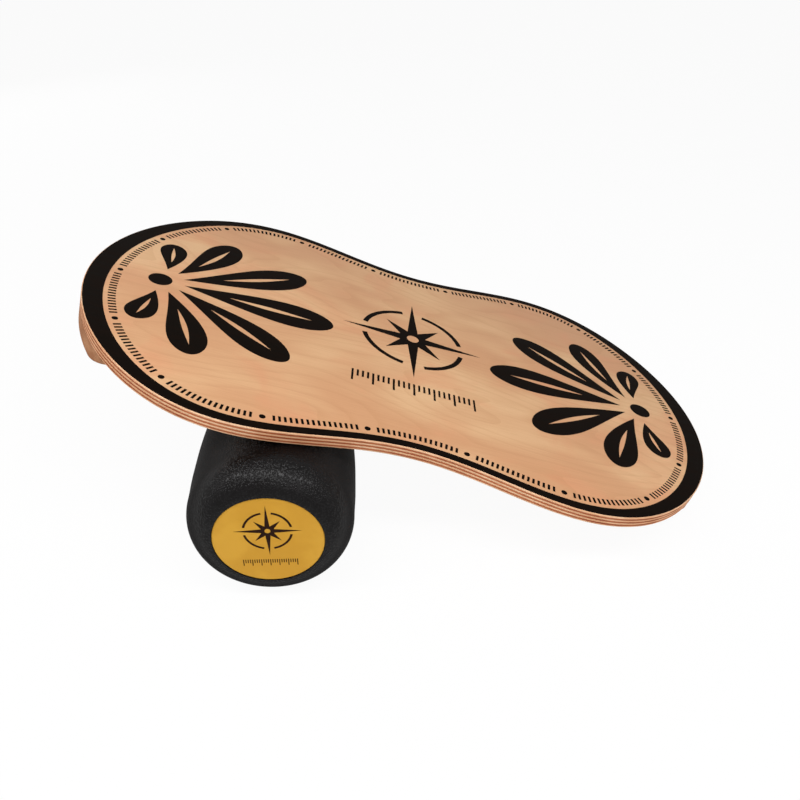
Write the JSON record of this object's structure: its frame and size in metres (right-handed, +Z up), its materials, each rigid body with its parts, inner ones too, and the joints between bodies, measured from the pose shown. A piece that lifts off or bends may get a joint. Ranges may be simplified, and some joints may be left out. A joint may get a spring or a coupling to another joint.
{
  "type": "rola bola",
  "caption": "Balance board: peanut-shaped plywood deck with an end stop under each end, lying tilted on a bone-shaped roller with end discs.",
  "frame": {"origin": "on the floor, under the middle of the whole object's box at rest", "axes": "+X square to the roller, towards the deck's end that rests on the floor, +Y along the roller's axis towards its rear end, +Z up"},
  "size_m": [0.7164, 0.514, 0.2425],
  "materials": {
    "light_veneer": "satin",
    "dark_veneer": "satin",
    "stop_wood": "satin",
    "screw_steel": "satin",
    "roller_skin": "matte",
    "tube_plastic": "matte",
    "plug_plastic": "matte",
    "disc_yellow": "satin"
  },
  "bodies": {
    "roller": {"roller_skin": "roller_skin", "end_plug_front": "plug_plastic", "end_plug_rear": "plug_plastic", "end_disc_front": "disc_yellow", "end_disc_rear": "disc_yellow"},
    "rolling_carrier": {"core_tube": "tube_plastic"},
    "deck": {"deck_ply_1": "light_veneer", "deck_ply_2": "dark_veneer", "deck_ply_3": "light_veneer", "deck_ply_4": "dark_veneer", "deck_ply_5": "light_veneer", "deck_ply_6": "dark_veneer", "deck_ply_7": "light_veneer", "end_stop_left": "stop_wood", "end_stop_right": "stop_wood", "stop_screw_left_1": "screw_steel", "stop_screw_left_2": "screw_steel", "stop_screw_left_3": "screw_steel", "stop_screw_left_4": "screw_steel", "stop_screw_right_1": "screw_steel", "stop_screw_right_2": "screw_steel", "stop_screw_right_3": "screw_steel", "stop_screw_right_4": "screw_steel"}
  },
  "joints": [
    {"name": "deck_rock", "type": "hinge", "parent": "roller", "child": "rolling_carrier", "pos_m": [-0.14633, 0, 0.082], "axis": [0, -1, 0], "range_deg": [0, 77]},
    {"name": "deck_roll", "type": "slide", "parent": "rolling_carrier", "child": "deck", "axis": [0.9575, 0, -0.2884], "range_m": [0, 0.1103]}
  ],
  "couplings": [
    {"joint": "deck_roll", "follows": "deck_rock", "m_per_rad": 0.082}
  ]
}
